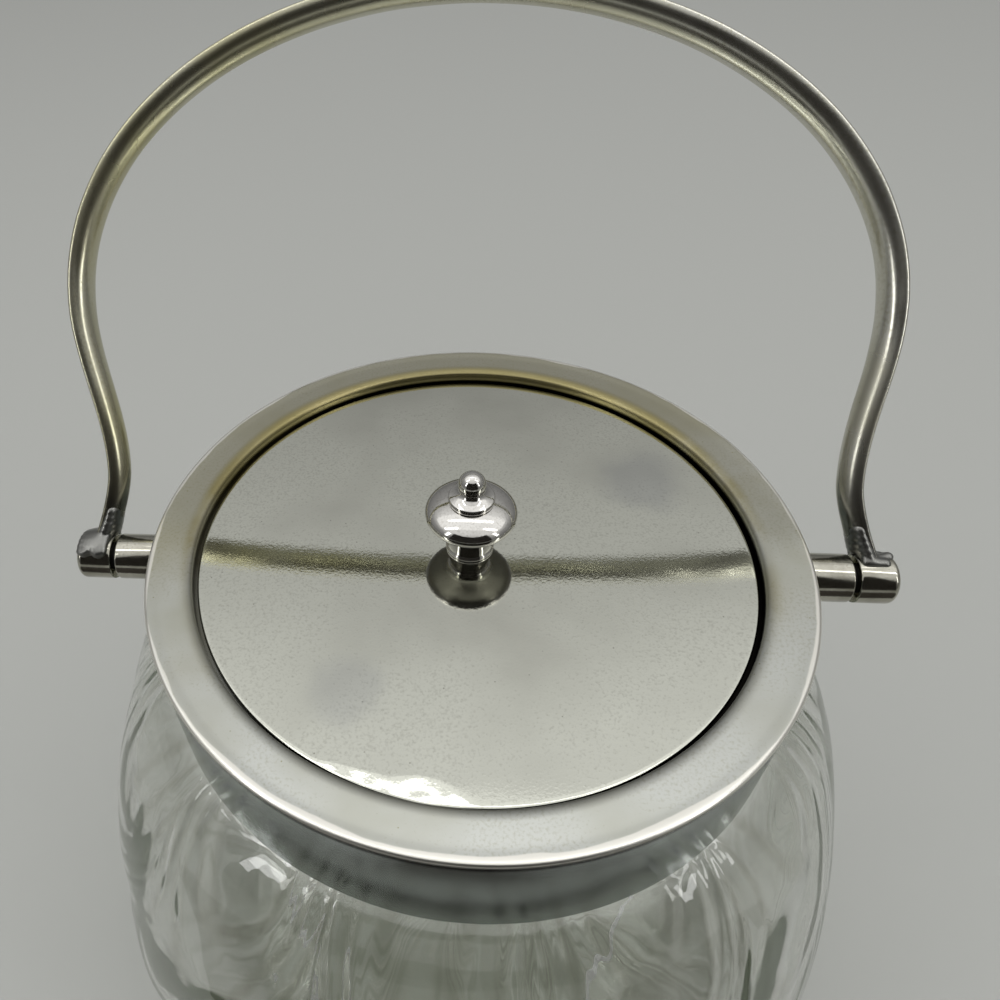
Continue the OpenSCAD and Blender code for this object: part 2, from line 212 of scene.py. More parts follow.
def srgb(code):
    """Linear colour from an sRGB hex code."""
    channels = [int(code[i : i + 2], 16) / 255 for i in (1, 3, 5)]
    return tuple(c / 12.92 if c <= 0.04045 else ((c + 0.055) / 1.055) ** 2.4 for c in channels) + (1,)


def add(tree, kind, inputs=(), **settings):
    """Add a node with its settings. inputs goes by socket name or number, or is a list in the sockets' order.
    It holds values to set, and outputs or whole nodes to link; a node stands for its first output in use."""
    made = tree.nodes.new(kind)
    for key, value in settings.items():
        setattr(made, key, value)
    for key, value in inputs.items() if isinstance(inputs, dict) else enumerate(inputs):
        if isinstance(value, bpy.types.Node):
            value = next(output for output in value.outputs if output.enabled)
        if isinstance(value, bpy.types.NodeSocket):
            tree.links.new(value, made.inputs[key])
        else:
            made.inputs[key].default_value = value
    return made


def new_material(name):
    """A new material and its node tree, which is still empty."""
    made = bpy.data.materials.new(name)
    made.use_nodes = True
    made.node_tree.nodes.clear()
    return made, made.node_tree


def per_mm(size):
    """Texture scale for a pattern of so many millimetres on Object coordinates in metres."""
    return 1 / (size * MM)


def silver_plate(name, clean, worn, polish, haze, pit_mm, wear_mm, tarnish=0.3, zones=None):
    """Electroplated silver: bright, hazed by fine scratches, with grey-brown tarnish in patches.
    zones(tree, place, colour, rough) may change the colour and the roughness from place to place."""
    made, tree = new_material(name)
    place = add(tree, "ShaderNodeTexCoord").outputs["Object"]
    patches = add(tree, NOISE, {"Vector": place, "Scale": per_mm(wear_mm), "Detail": 4})
    patch = add(tree, RANGE, [patches, *PATCH_FADE, 0, tarnish])
    grain = add(tree, NOISE, {"Vector": place, "Scale": per_mm(pit_mm), "Detail": 3})
    pits = add(tree, RANGE, [grain, *PIT_FADE, 0, PIT_DARK])
    cells = add(tree, "ShaderNodeTexVoronoi", {"Vector": place, "Scale": per_mm(SPECK_APART)})
    specks = add(tree, RANGE, [cells, *SPECK_FADE, 0, SPECK_DARK])
    dull = add(tree, MATH, [patch, pits], operation="MAXIMUM")
    dull = add(tree, MATH, [dull, specks], operation="MAXIMUM")
    colour = add(tree, MIX, {"Factor": dull, "A": srgb(clean), "B": srgb(worn)}, data_type="RGBA")
    rough = add(tree, RANGE, [patches, *HAZE_FADE, polish, haze])
    bump = add(tree, "ShaderNodeBump", {"Height": grain, "Strength": 0.12, "Distance": GRAIN_RELIEF * MM})
    if zones:
        colour, rough = zones(tree, place, colour, rough)
    shader = add(tree, "ShaderNodeBsdfPrincipled", {
        "Base Color": colour, "Metallic": 1, "Roughness": rough, "Normal": bump})
    add(tree, "ShaderNodeOutputMaterial", {"Surface": shader})
    return made


def collar_zones(tree, place, colour, rough):
    """Yellow tarnish on the roll round the lid, worst at the back; painted shade, near black, in the recess
    and under the bead; a painted highlight on the bead's crest;
    and a skirt that kept the polish that the top face has lost, with painted shade making it a darker, cooler
    grey."""
    x, y, z = add(tree, "ShaderNodeSeparateXYZ", [place]).outputs
    flat = add(tree, "ShaderNodeCombineXYZ", [x, y])
    radius = add(tree, "ShaderNodeVectorMath", [flat], operation="LENGTH")
    blots = add(tree, NOISE, {"Vector": place, "Scale": per_mm(15), "Detail": 3})

    # The tarnish begins on an uneven line, which lies further forward on the left.
    uneven = add(tree, MATH, [blots, 90 * MM, -45 * MM], operation="MULTIPLY_ADD")
    back = add(tree, MATH, [y, uneven], operation="ADD")
    left = add(tree, MATH, [x, 0.0], operation="MINIMUM")
    back = add(tree, MATH, [left, -0.3, back], operation="MULTIPLY_ADD")
    aged = add(tree, RANGE, [back, -30 * MM, 42 * MM, 0.08, 0.85], **SMOOTH)
    roll = add(tree, RANGE, [radius, (LID_R + 3.6) * MM, (LID_R + 1.6) * MM, 0.5, 1.0], **SMOOTH)
    aged = add(tree, MATH, [aged, roll], operation="MULTIPLY")
    colour = add(tree, MIX, {"Factor": aged, "A": colour, "B": srgb("#8A7E45")}, data_type="RGBA")

    # The bead's crest carries a painted highlight: it is painted lighter, and further in at the front.
    waver = add(tree, MATH, [blots, 2 * MM, radius], operation="MULTIPLY_ADD")
    front = add(tree, RANGE, [y, -35 * MM, -56 * MM, -1.0 * MM, -0.4 * MM], **SMOOTH)
    reach = add(tree, MATH, [waver, front], operation="ADD")
    reach = add(tree, RANGE, [reach, (COLLAR_R - 1.0) * MM, (COLLAR_R - 0.7) * MM], **SMOOTH)
    crest = add(tree, RANGE, [z, (COLLAR_TOP - 0.6) * MM, (COLLAR_TOP - 0.4) * MM], **SMOOTH)
    crest_highlight = add(tree, MATH, [reach, crest], operation="MULTIPLY")
    colour = add(tree, MIX, {"Factor": crest_highlight, "A": colour, "B": srgb("#E8E6DD")}, data_type="RGBA")

    # The skirt is more polished, and painted shade makes it a darker, cooler grey than the top face.
    outer = add(tree, RANGE, [radius, (COLLAR_R - 1.2) * MM, (COLLAR_R - 0.9) * MM], **SMOOTH)
    lower = add(tree, RANGE, [z, (COLLAR_TOP - 0.5) * MM, (COLLAR_TOP - 0.9) * MM], **SMOOTH)
    skirt = add(tree, MATH, [outer, lower], operation="MULTIPLY")
    colour = add(tree, MIX, {"Factor": skirt, "A": colour, "B": srgb("#A4ABA9")}, data_type="RGBA")
    rough = add(tree, MIX, {"Factor": skirt, "A": rough, "B": 0.16})

    # In the recess, painted shade, near black, reaches higher at the front and lies thinner on the left.
    higher = add(tree, RANGE, [y, 15 * MM, -40 * MM, 0.0, 1.5 * MM], **SMOOTH)
    near = add(tree, MATH, [radius, higher], operation="SUBTRACT")
    near = add(tree, RANGE, [near, (LID_R + 1.1) * MM, (LID_R + 0.7) * MM], **SMOOTH)
    deep = add(tree, MATH, [z, higher], operation="SUBTRACT")
    deep = add(tree, RANGE, [deep, (LID_TOP + 0.9) * MM, (LID_TOP - 0.1) * MM], **SMOOTH)
    thick = add(tree, RANGE, [x, -50 * MM, -25 * MM, 0.6, 1.0], **SMOOTH)
    recess = add(tree, MATH, [near, deep], operation="MULTIPLY")
    recess = add(tree, MATH, [recess, thick], operation="MULTIPLY")
    # Painted shade on the skirt, just under the bead.
    under_bead = add(tree, RANGE, [z, (COLLAR_TOP - 2.3) * MM, (COLLAR_TOP - 1.7) * MM], **SMOOTH)
    under_bead = add(tree, MATH, [under_bead, skirt], operation="MULTIPLY")
    recess_shade = add(tree, MATH, [recess, under_bead], operation="MAXIMUM")
    colour = add(tree, MIX, {"Factor": recess_shade, "A": colour, "B": srgb("#0E0D0B")}, data_type="RGBA")
    return colour, rough


def bail_zones(tree, place, colour, rough):
    """Yellow-grey tarnish where the silver has not been handled, more on the left limb, and dull grey feet,
    where the solderer's torch burnt the silver and it was never polished again."""
    from_left = add(tree, "ShaderNodeSeparateXYZ", [place]).outputs["X"]
    left = add(tree, RANGE, [from_left, 30 * MM, -60 * MM, 0.15, 1.1])
    blots = add(tree, NOISE, {"Vector": place, "Scale": per_mm(22), "Detail": 2})
    aged = add(tree, MATH, [left, blots], operation="MULTIPLY")
    colour = add(tree, MIX, {"Factor": aged, "A": colour, "B": srgb("#B3AD7E")}, data_type="RGBA")
    arm = add(tree, "ShaderNodeVectorMath", [
        place, (0, 1, 1), (0, 0, -PIVOT_Z * MM)], operation="MULTIPLY_ADD")
    reach = add(tree, "ShaderNodeVectorMath", [arm], operation="LENGTH")
    foot = add(tree, RANGE, [reach, 22 * MM, 9 * MM, 0.0, 1.5])
    scorch = add(tree, NOISE, {"Vector": place, "Scale": per_mm(4), "Detail": 3})
    burnt = add(tree, MATH, [foot, scorch], operation="MULTIPLY")
    colour = add(tree, MIX, {"Factor": burnt, "A": colour, "B": srgb("#5C5B57")}, data_type="RGBA")
    return colour, rough


def knob_zones(tree, place, colour, rough):
    """Painted shade: the disc's underside is painted a darker grey, and it is made rougher there."""
    x, y, z = add(tree, "ShaderNodeSeparateXYZ", [place]).outputs
    flat = add(tree, "ShaderNodeCombineXYZ", [x, y])
    radius = add(tree, "ShaderNodeVectorMath", [flat], operation="LENGTH")
    # Painted shade under the disc.
    under = add(tree, RANGE, [z, (LID_TOP + 8.9) * MM, (LID_TOP + 8.3) * MM])
    wide = add(tree, RANGE, [radius, 3.8 * MM, 4.6 * MM])
    high = add(tree, RANGE, [z, (LID_TOP + 4.4) * MM, (LID_TOP + 5.0) * MM])
    dark = add(tree, MATH, [under, wide], operation="MULTIPLY")
    dark = add(tree, MATH, [dark, high], operation="MULTIPLY")
    colour = add(tree, MIX, {"Factor": dark, "A": colour, "B": srgb("#8A8884")}, data_type="RGBA")
    rough = add(tree, MIX, {"Factor": dark, "A": rough, "B": 0.3})
    return colour, rough


def lid_zones(tree, place, colour, rough):
    """Two grey stains with uneven edges, where drops have stood on the lid."""
    wander = add(tree, NOISE, {"Vector": place, "Scale": per_mm(9), "Detail": 2}).outputs["Color"]
    away = add(tree, "ShaderNodeVectorMath", [
        wander, (STAIN_WANDER * MM, STAIN_WANDER * MM, 0), place], operation="MULTIPLY_ADD")
    for (x, y), reach, strength in STAINS:
        middle = Vector((x + STAIN_WANDER / 2, y + STAIN_WANDER / 2, STAIN_Z)) * MM
        apart = add(tree, "ShaderNodeVectorMath", [away, middle], operation="DISTANCE")
        stain = add(tree, RANGE, [apart, reach * MM, reach * 0.4 * MM, 0.0, strength], **SMOOTH)
        colour = add(tree, MIX, {"Factor": stain, "A": colour, "B": srgb("#8F9196")}, data_type="RGBA")
    return colour, rough


def swirled_glass():
    """Clear soda-lime glass, mould-blown and fire-polished: a faint green-grey body colour, a mirror-smooth
    skin and cords, the streaks left where the gather was swirled. They hang in nested loops in each lobe, and
    painted light and shade tints them a little greyer on their crests."""
    made, tree = new_material("swirled_soda_glass")
    place = add(tree, "ShaderNodeTexCoord").outputs["Object"]
    x, y, z = add(tree, "ShaderNodeSeparateXYZ", [place]).outputs

    # Where a spot lies in its lobe: 0 in the middle, half a unit at the creases.
    wound = add(tree, RANGE, [z, LOBE_FOOT * MM, SWIRL_TOP * MM, 0.0, LOBE_TWIST], **SMOOTH)
    turn = add(tree, MATH, [y, x], operation="ARCTAN2")
    turn = add(tree, MATH, [turn, wound], operation="SUBTRACT")
    in_lobe = add(tree, MATH, [turn, LOBES / (2 * math.pi)], operation="MULTIPLY")
    in_lobe = add(tree, MATH, [in_lobe], operation="FRACT")
    in_lobe = add(tree, MATH, [in_lobe, 0.5], operation="SUBTRACT")

    # Level lines, which the cords follow, sag in each lobe and stray.
    sag = add(tree, MATH, [in_lobe, in_lobe], operation="MULTIPLY")
    level = add(tree, MATH, [sag, -LOOP_SAG * MM, z], operation="MULTIPLY_ADD")
    stray = add(tree, NOISE, {"Vector": place, "Scale": per_mm(24), "Detail": 2, "Roughness": 0.4})
    level = add(tree, MATH, [stray, LOOP_STRAY * MM, level], operation="MULTIPLY_ADD")
    folds = add(tree, MATH, [level, 2 * math.pi / (FOLD_PITCH * MM)], operation="MULTIPLY")
    folds = add(tree, MATH, [folds], operation="SINE")
    threads = add(tree, MATH, [level, 2 * math.pi / (THREAD_PITCH * MM)], operation="MULTIPLY")
    threads = add(tree, MATH, [threads], operation="SINE")
    cords = add(tree, MATH, [threads, THREAD_SHARE, folds], operation="MULTIPLY_ADD")
    bump = add(tree, "ShaderNodeBump", {"Height": cords, "Strength": 1.0, "Distance": CORD_RELIEF * MM})
    # Partly body colour and partly painted light and shade: the glass is tinted a little greyer along the
    # cords' crests.
    streak = add(tree, RANGE, [cords, 0.1, 1.2])
    colour = add(tree, MIX, {"Factor": streak, "A": srgb("#F8F9F6"), "B": srgb("#E5E5DF")}, data_type="RGBA")
    shader = add(tree, "ShaderNodeBsdfPrincipled", {
        "Base Color": colour, "Roughness": 0.01, "IOR": 1.5, "Transmission Weight": 1, "Normal": bump})

    # Lamps shine straight through, and so do rays that the wall has mirrored more than once.
    clear = add(tree, "ShaderNodeBsdfTransparent", {"Color": srgb("#EBEDE9")})
    light = add(tree, "ShaderNodeLightPath").outputs
    mirrored = add(tree, MATH, [light["Glossy Depth"], 1.5], operation="GREATER_THAN")
    straight = add(tree, MATH, [light["Is Shadow Ray"], mirrored], operation="MAXIMUM")
    mix = add(tree, "ShaderNodeMixShader", [straight, shader, clear])
    add(tree, "ShaderNodeOutputMaterial", {"Surface": mix})
    return made


def plain_metal(name, colour, metallic, polish, grain_mm):
    """Turned or drawn metal with fine tool marks in its gloss."""
    made, tree = new_material(name)
    place = add(tree, "ShaderNodeTexCoord").outputs["Object"]
    marks = add(tree, NOISE, {"Vector": place, "Scale": per_mm(grain_mm), "Detail": 3})
    rough = add(tree, RANGE, {"Value": marks, "To Min": polish * 0.7, "To Max": polish * 1.4})
    bump = add(tree, "ShaderNodeBump", {"Height": marks, "Strength": 0.3, "Distance": GRAIN_RELIEF * MM})
    shader = add(tree, "ShaderNodeBsdfPrincipled", {
        "Base Color": srgb(colour), "Metallic": metallic, "Roughness": rough, "Normal": bump})
    add(tree, "ShaderNodeOutputMaterial", {"Surface": shader})
    return made


def bedding_plaster():
    """Dry plaster of Paris: chalky, pale and unpolished."""
    made, tree = new_material("bedding_plaster")
    place = add(tree, "ShaderNodeTexCoord").outputs["Object"]
    mottle = add(tree, NOISE, {"Vector": place, "Scale": per_mm(2.5), "Detail": 5})
    colour = add(tree, MIX, {"Factor": mottle, "A": srgb("#CFCABC"), "B": srgb("#E6E1D4")}, data_type="RGBA")
    bump = add(tree, "ShaderNodeBump", {"Height": mottle, "Strength": 0.5, "Distance": 0.3 * MM})
    shader = add(tree, "ShaderNodeBsdfPrincipled", {"Base Color": colour, "Roughness": 0.9, "Normal": bump})
    add(tree, "ShaderNodeOutputMaterial", {"Surface": shader})
    return made


satin_silver = silver_plate("satin_silver_collar", "#C6C8C3", "#8C8A68", polish=0.28, haze=0.36, pit_mm=0.5,
                            wear_mm=26, tarnish=0.4, zones=collar_zones)
lid_silver = silver_plate("pitted_silver_lid", "#CBCCC1", "#85837A", polish=0.03, haze=0.06, pit_mm=0.45,
                          wear_mm=30, zones=lid_zones)
knob_silver = silver_plate("polished_silver_knob", "#CFCDC8", "#7A766C", polish=0.05, haze=0.12, pit_mm=0.4,
                           wear_mm=5, zones=knob_zones)
bail_silver = silver_plate("handled_silver_bail", "#CBCAC1", "#8F8A66", polish=0.2, haze=0.3, pit_mm=0.6,
                           wear_mm=18, tarnish=0.4, zones=bail_zones)
hub_silver = silver_plate("turned_silver_hub", "#B4B2A6", "#6E695A", polish=0.07, haze=0.16, pit_mm=0.4,
                          wear_mm=6, tarnish=0.6)
solder_grey = plain_metal("soft_solder", "#82827E", 1, 0.3, 1.2)
# Painted shade: the spacers in the narrow gap between boss and hub are painted near black.
gap_shade_black = plain_metal("spacer_gap_shade", "#0B0B0A", 0, 0.7, 0.5)
pin_steel = plain_metal("drawn_steel_pin", "#9A9A98", 1, 0.3, 0.4)
turned_brass = plain_metal("turned_brass", "#B08A45", 1, 0.3, 0.6)
glass = swirled_glass()
plaster = bedding_plaster()

# ---- camera ----

FOCAL_PX = 805.9          # focal length, in pixels of a frame 1000 wide
PRINCIPAL_PX = (380.1, 494.6)
FRAME_PX = 1000
SENSOR = 36.0
EYE = Vector((-2.65, -102.8, 112.7))  # from the centre of the lid's top face
PAN, TILT, ROLL = (math.radians(a) for a in (-7.55, 43.99, 3.96))
CLIP_START = 10


def make_camera():
    """The camera stands close over the front edge and looks down on the lid."""
    data = bpy.data.cameras.new("camera")
    data.sensor_width = SENSOR
    data.lens = FOCAL_PX / FRAME_PX * SENSOR
    data.shift_x = (FRAME_PX / 2 - PRINCIPAL_PX[0]) / FRAME_PX
    data.shift_y = (PRINCIPAL_PX[1] - FRAME_PX / 2) / FRAME_PX
    data.clip_start = CLIP_START * MM
    forward = Vector((math.sin(PAN) * math.cos(TILT), math.cos(PAN) * math.cos(TILT), -math.sin(TILT)))
    level = Vector((math.cos(PAN), -math.sin(PAN), 0))
    below = forward.cross(level)
    right = math.cos(ROLL) * level + math.sin(ROLL) * below
    up = math.sin(ROLL) * level - math.cos(ROLL) * below
    camera = bpy.data.objects.new("camera", data)
    turn = Matrix((right, up, -forward)).transposed().to_4x4()
    camera.matrix_world = Matrix.Translation((EYE + Vector((0, 0, LID_TOP))) * MM) @ turn
    bpy.context.scene.collection.objects.link(camera)
    bpy.context.scene.camera = camera


make_camera()

# ---- floor, lamps and world ----

FLOOR_SIZE = 8000.0
FLOOR_GREY, CEILING_GREY = 0.2, 0.97
WALL_GREYS = ((0.55, 0.37), (0.78, 0.64), (0.92, 0.98))  # greys at rising levels between floor and ceiling
RIGHT_WALL = 0.04                                        # how much the right wall is lighter than the left


def make_floor():
    """A plain pale matt table."""
    made, tree = new_material("pale_table")
    shader = add(tree, "ShaderNodeBsdfPrincipled", {"Base Color": srgb("#9FA09C"), "Roughness": 0.75})
    add(tree, "ShaderNodeOutputMaterial", {"Surface": shader})
    half = FLOOR_SIZE / 2
    corners = [(-half, -half, 0), (half, -half, 0), (half, half, 0), (-half, half, 0)]
    floor = new_piece("floor", corners, [(0, 1, 2, 3)], made)


def make_softbox(name, place, aim, size, radiance):
    """A square-on area lamp, in metres, whose face is as bright as radiance says."""
    data = bpy.data.lights.new(name, "AREA")
    data.shape = "RECTANGLE"
    data.size, data.size_y = size
    data.energy = radiance * math.pi * size[0] * size[1]
    lamp = bpy.data.objects.new(name, data)
    lamp.location = place
    lamp.rotation_mode = "QUATERNION"
    lamp.rotation_quaternion = (Vector(place) - Vector(aim)).to_track_quat("Z", "Y")
    bpy.context.scene.collection.objects.link(lamp)
    return lamp


def make_world():
    """A soft grey room, dim at table height, lighter towards the ceiling and up the side walls, most so on
    the right."""
    world = bpy.data.worlds.new("room")
    world.use_nodes = True
    tree = world.node_tree
    tree.nodes.clear()
    direction = add(tree, "ShaderNodeTexCoord").outputs["Generated"]
    x, _, z = add(tree, "ShaderNodeSeparateXYZ", [direction]).outputs
    side = add(tree, MATH, [x, z], operation="MULTIPLY")
    slant = add(tree, MATH, [side, RIGHT_WALL], operation="ADD")
    level = add(tree, MATH, [side, slant, z], operation="MULTIPLY_ADD")
    ramp = add(tree, "ShaderNodeValToRGB", [level])
    stops = ramp.color_ramp.elements
    stops[0].color = (FLOOR_GREY, FLOOR_GREY, FLOOR_GREY, 1)
    stops[1].color = (CEILING_GREY, CEILING_GREY, CEILING_GREY, 1)
    for position, grey in WALL_GREYS:
        stops.new(position).color = (grey, grey, grey, 1)
    background = add(tree, "ShaderNodeBackground", {"Color": ramp})
    add(tree, "ShaderNodeOutputWorld", {"Surface": background})
    bpy.context.scene.world = world


def only_in_reflections(piece):
    """A studio card: it shades nothing and shows only where metal or glass mirrors it."""
    piece.visible_camera = False
    piece.visible_diffuse = False
    piece.visible_transmission = False
    piece.visible_shadow = False


CARD_R = 480                  # distance of the front card from the middle of the lid
CARD_BEARING = 46             # how far it reaches to each side of straight ahead, in degrees
CARD_LOW, CARD_HIGH = -4, 50  # heights of its edges as seen from the lid, in degrees
CARD_STEPS = 12


def make_cards():
    """Black cards in front of the jar, up to the camera's height, as for silver in a studio, and one on the
    table, which is painted shade: metal and glass mirror it where the jar shades the table. The front card is
    a patch of a ball about the lid."""
    made, tree = new_material("black_card")
    shader = add(tree, "ShaderNodeBsdfPrincipled", {"Base Color": srgb("#34302C"), "Roughness": 0.9})
    add(tree, "ShaderNodeOutputMaterial", {"Surface": shader})
    row = CARD_STEPS + 1
    verts = []
    for i in range(row):
        tilt = math.radians(CARD_LOW + (CARD_HIGH - CARD_LOW) * i / CARD_STEPS)
        flat = CARD_R * math.cos(tilt)
        for j in range(row):
            turn = math.radians(CARD_BEARING * (2 * j / CARD_STEPS - 1))
            verts.append((flat * math.sin(turn), -flat * math.cos(turn), LID_TOP + CARD_R * math.sin(tilt)))
    corners = [i * row + j for i in range(CARD_STEPS) for j in range(CARD_STEPS)]
    faces = [(k, k + 1, k + row + 1, k + row) for k in corners]
    only_in_reflections(new_piece("front_card", verts, faces, made))
    # Painted shade: a black card on the table, seen only in reflections, stands in for the table's shade
    # under the jar.
    corners = [(-420, -480, 2), (420, -480, 2), (300, -112, 2), (-300, -112, 2)]
    only_in_reflections(new_piece("table_card", corners, [(0, 1, 2, 3)], made))


make_floor()
make_world()
make_cards()
top = LID_TOP * MM
fill = make_softbox("overhead_fill", (0, 0, top + 1.6), (0, 0, 0), (2.6, 2.6), 0.66)
fill.visible_glossy = False  # it lights the table, plaster and washers, and no metal mirrors it
make_softbox("ceiling_softbox", (0, 0.1, top + 0.85), (0, 0.1, 0), (2.2, 0.52), 0.3)
make_softbox("ceiling_tube", (0, 0.17, top + 0.84), (0, 0.17, 0), (0.9, 0.06), 1.6)
make_softbox("front_window", (0, -0.56, top + 0.22), (0, 0, top), (0.42, 0.3), 0.8)
make_softbox("left_tube", (-0.5, -0.15, top + 0.8), (-0.3, -0.1, 0), (0.05, 0.5), 5.5)
make_softbox("right_tube", (0.52, -0.15, top + 0.8), (0.3, -0.1, 0), (0.05, 0.5), 5.5)
make_softbox("left_strip", (-0.62, -0.42, top + 0.42), (0, 0, top), (0.07, 0.4), 6)
make_softbox("right_strip", (0.66, -0.36, top + 0.4), (0, 0, top), (0.07, 0.4), 6)
bpy.context.scene.view_settings.view_transform = "Standard"

# ---- glass body ----

GLASS_WALL = 3.5
BASE_R = 58.0
BELLY_Z = 42.0
BELLY_PULL = 0.25                 # how far up the belly keeps its width, as a share of the way to the collar
ROOT_R = COLLAR_R + 0.2
SHOULDER_REACH = 17.4
SHOULDER_FALL = 6.2
SHOULDER_FADE = 18.0
NECK_R = 56.2
NECK_START_Z = ROOT_Z + 5
RIM_Z = COLLAR_TOP - 0.9
PUSH_UP = 3.0
FLOOR_T = 6.0
BASE_RING_W = 6.0
RING_LIFT = 0.5                   # the standing ring's inner edge is off the table
LOBE_DEPTH = 1.05
LOBE_FULL = 34                    # height at which the creases reach their depth
RIPPLE_FADE = (20, 40)            # heights between which the inside begins to follow them
RIPPLE_SHARE = 0.35               # how much of their depth it follows
FLOW_DEPTH = 0.3
OUTER_FLOW, INNER_FLOW = 13, 17   # size of the unevenness outside and inside
GLASS_TURNS = 432                 # faces round the glass


def glass_outer():
    """The jar's outside, from the standing ring up to the collar and on to the neck's end."""
    pull = (ROOT_Z - BELLY_Z) * BELLY_PULL
    points = arc((BASE_R, BELLY_Z), BELLY_R - BASE_R, BELLY_Z, -90, 0, 30)
    points += cubic((BELLY_R, BELLY_Z), (BELLY_R, BELLY_Z + pull),
                    (ROOT_R + SHOULDER_REACH, ROOT_Z - SHOULDER_FALL), (ROOT_R, ROOT_Z), 68)
    points += cubic((ROOT_R, ROOT_Z), (ROOT_R - 2, ROOT_Z + 0.5), (NECK_R, ROOT_Z + 1.2),
                    (NECK_R, NECK_START_Z), 8)
    return points


def lobe_wave(angle, z):
    """0 on a lobe's crest and 1 in the crease beside it; the lobes wind round the jar and wander a little."""
    wander = noise.noise(Vector((1.6 * math.cos(angle), 1.6 * math.sin(angle), z / 50)))
    phase = (angle - LOBE_TWIST * ease(z, LOBE_FOOT, SWIRL_TOP)) * LOBES / (2 * math.pi) + 0.3 * wander
    return 1 - math.sin(math.pi * (phase % 1.0)) ** 0.8


def flow(r, z, angle, size):
    """Slow unevenness of blown glass, drawn out along the swirl."""
    turned_by = angle - LOBE_TWIST * z / SWIRL_TOP
    return noise.noise(Vector((r * math.cos(turned_by), r * math.sin(turned_by), z * 0.5)) / size)


def lobed(r, z, angle):
    """The swirl: creases that run out at the foot and under the collar."""
    strength = ease(z, LOBE_FOOT, LOBE_FULL) * (1 - ease(z, ROOT_Z - SHOULDER_FADE, ROOT_Z - 0.5))
    dip = LOBE_DEPTH * lobe_wave(angle, z) + FLOW_DEPTH * (flow(r, z, angle, OUTER_FLOW) + 0.5)
    return r - strength * max(dip, 0), z


def rippled(r, z, angle):
    """The inside of a blown wall follows the lobes softly."""
    strength = ease(z, *RIPPLE_FADE) * (1 - ease(z, ROOT_Z - SHOULDER_FADE, ROOT_Z - 6))
    dip = RIPPLE_SHARE * LOBE_DEPTH * lobe_wave(angle, z) + FLOW_DEPTH * flow(r, z, angle, INNER_FLOW)
    return r - strength * dip, z


def inset(points, depth):
    """A curve that runs upwards, moved inwards along its normals."""
    moved = []
    for i, point in enumerate(points):
        a, b = points[max(i - 1, 0)], points[min(i + 1, len(points) - 1)]
        run, climb = b[0] - a[0], b[1] - a[1]
        length = math.hypot(run, climb)
        moved.append((point[0] - depth * climb / length, point[1] + depth * run / length))
    return moved


def make_glass():
    outer = glass_outer()
    neck_in = NECK_R - GLASS_WALL
    rim = GLASS_WALL * 0.4
    floor_z = PUSH_UP + FLOOR_T
    wall = [p for p in inset(outer, GLASS_WALL) if floor_z + 0.5 < p[1] < NECK_START_Z]
    inner = set(wall)
    outline = [(0, PUSH_UP)] + line((0, PUSH_UP), (BASE_R - BASE_RING_W, PUSH_UP), 4)
    outline += line(outline[-1], (BASE_R - BASE_RING_W + PUSH_UP / 2, RING_LIFT), 2)
    outline += line(outline[-1], outer[0], 2)[:-1] + outer
    outline += arc((NECK_R - rim, RIM_Z - rim), rim, rim, 0, 90, 5)
    outline += arc((neck_in + rim, RIM_Z - rim), rim, rim, 90, 180, 5)
    outline += [(neck_in, NECK_START_Z)] + wall[::-1] + line((wall[0][0], floor_z), (0, floor_z), 6)

    def place(r, z, angle):
        return rippled(r, z, angle) if (r, z) in inner else lobed(r, z, angle)

    piece = turned("swirled_glass_body", outline, glass, GLASS_TURNS, place, sharp=50)
    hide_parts("glass_jar")
    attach(piece, "jar")


make_glass()

# ---- collar ----

SHEET = 0.8
RECESS_R = LID_R + 0.6
LEDGE_W = 4.0
LEDGE_TOP = LID_TOP - LID_T
SKIRT_R = COLLAR_R - 0.2
BEAD_R = 0.7
FACE_Z = COLLAR_TOP - 0.1
SHEET_TURNS = 512                 # faces round the collar and the lid


def make_collar():
    bead = (COLLAR_R - BEAD_R, COLLAR_TOP - BEAD_R)
    under = math.degrees(math.acos((SKIRT_R - bead[0]) / BEAD_R))
    outer = [(SKIRT_R, COLLAR_BOTTOM + 0.15), (SKIRT_R, COLLAR_BOTTOM + 8), (SKIRT_R, bead[1] - 3)]
    outer += arc(bead, BEAD_R, BEAD_R, -under, 90, 20)
    outer += cubic(outer[-1], (bead[0] - 0.6, COLLAR_TOP), (bead[0] - 1.2, FACE_Z + 0.02),
                   (bead[0] - 2, FACE_Z), 8)
    outer += line(outer[-1], (RECESS_R + 2.3, FACE_Z - 0.03), 4)
    outer += cubic(outer[-1], (RECESS_R + 1.7, FACE_Z - 0.03), (RECESS_R + 1.1, FACE_Z - 0.08),
                   (RECESS_R + 0.6, FACE_Z - 0.34), 14)
    outer += cubic(outer[-1], (RECESS_R + 0.2, FACE_Z - 0.55), (RECESS_R, FACE_Z - 0.9),
                   (RECESS_R, FACE_Z - 1.5), 12)
    outer += [(RECESS_R, LEDGE_TOP), (RECESS_R - LEDGE_W, LEDGE_TOP), (RECESS_R - LEDGE_W, LEDGE_TOP - SHEET)]
    inner = [(RECESS_R + SHEET, LEDGE_TOP - SHEET), (RECESS_R + SHEET, FACE_Z - 2.0),
             (RECESS_R + 2.1, FACE_Z - 1.1), (COLLAR_R - 2 * BEAD_R, FACE_Z - SHEET)]
    outline = outer + inner + [(SKIRT_R - SHEET, COLLAR_TOP - 2 * BEAD_R), (SKIRT_R - SHEET, COLLAR_BOTTOM),
                               (SKIRT_R - 0.15, COLLAR_BOTTOM)]
    piece = turned("collar_flange_and_skirt", outline, satin_silver, SHEET_TURNS)
    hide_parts("collar")
    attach(piece, "jar")


make_collar()

# ---- lid ----

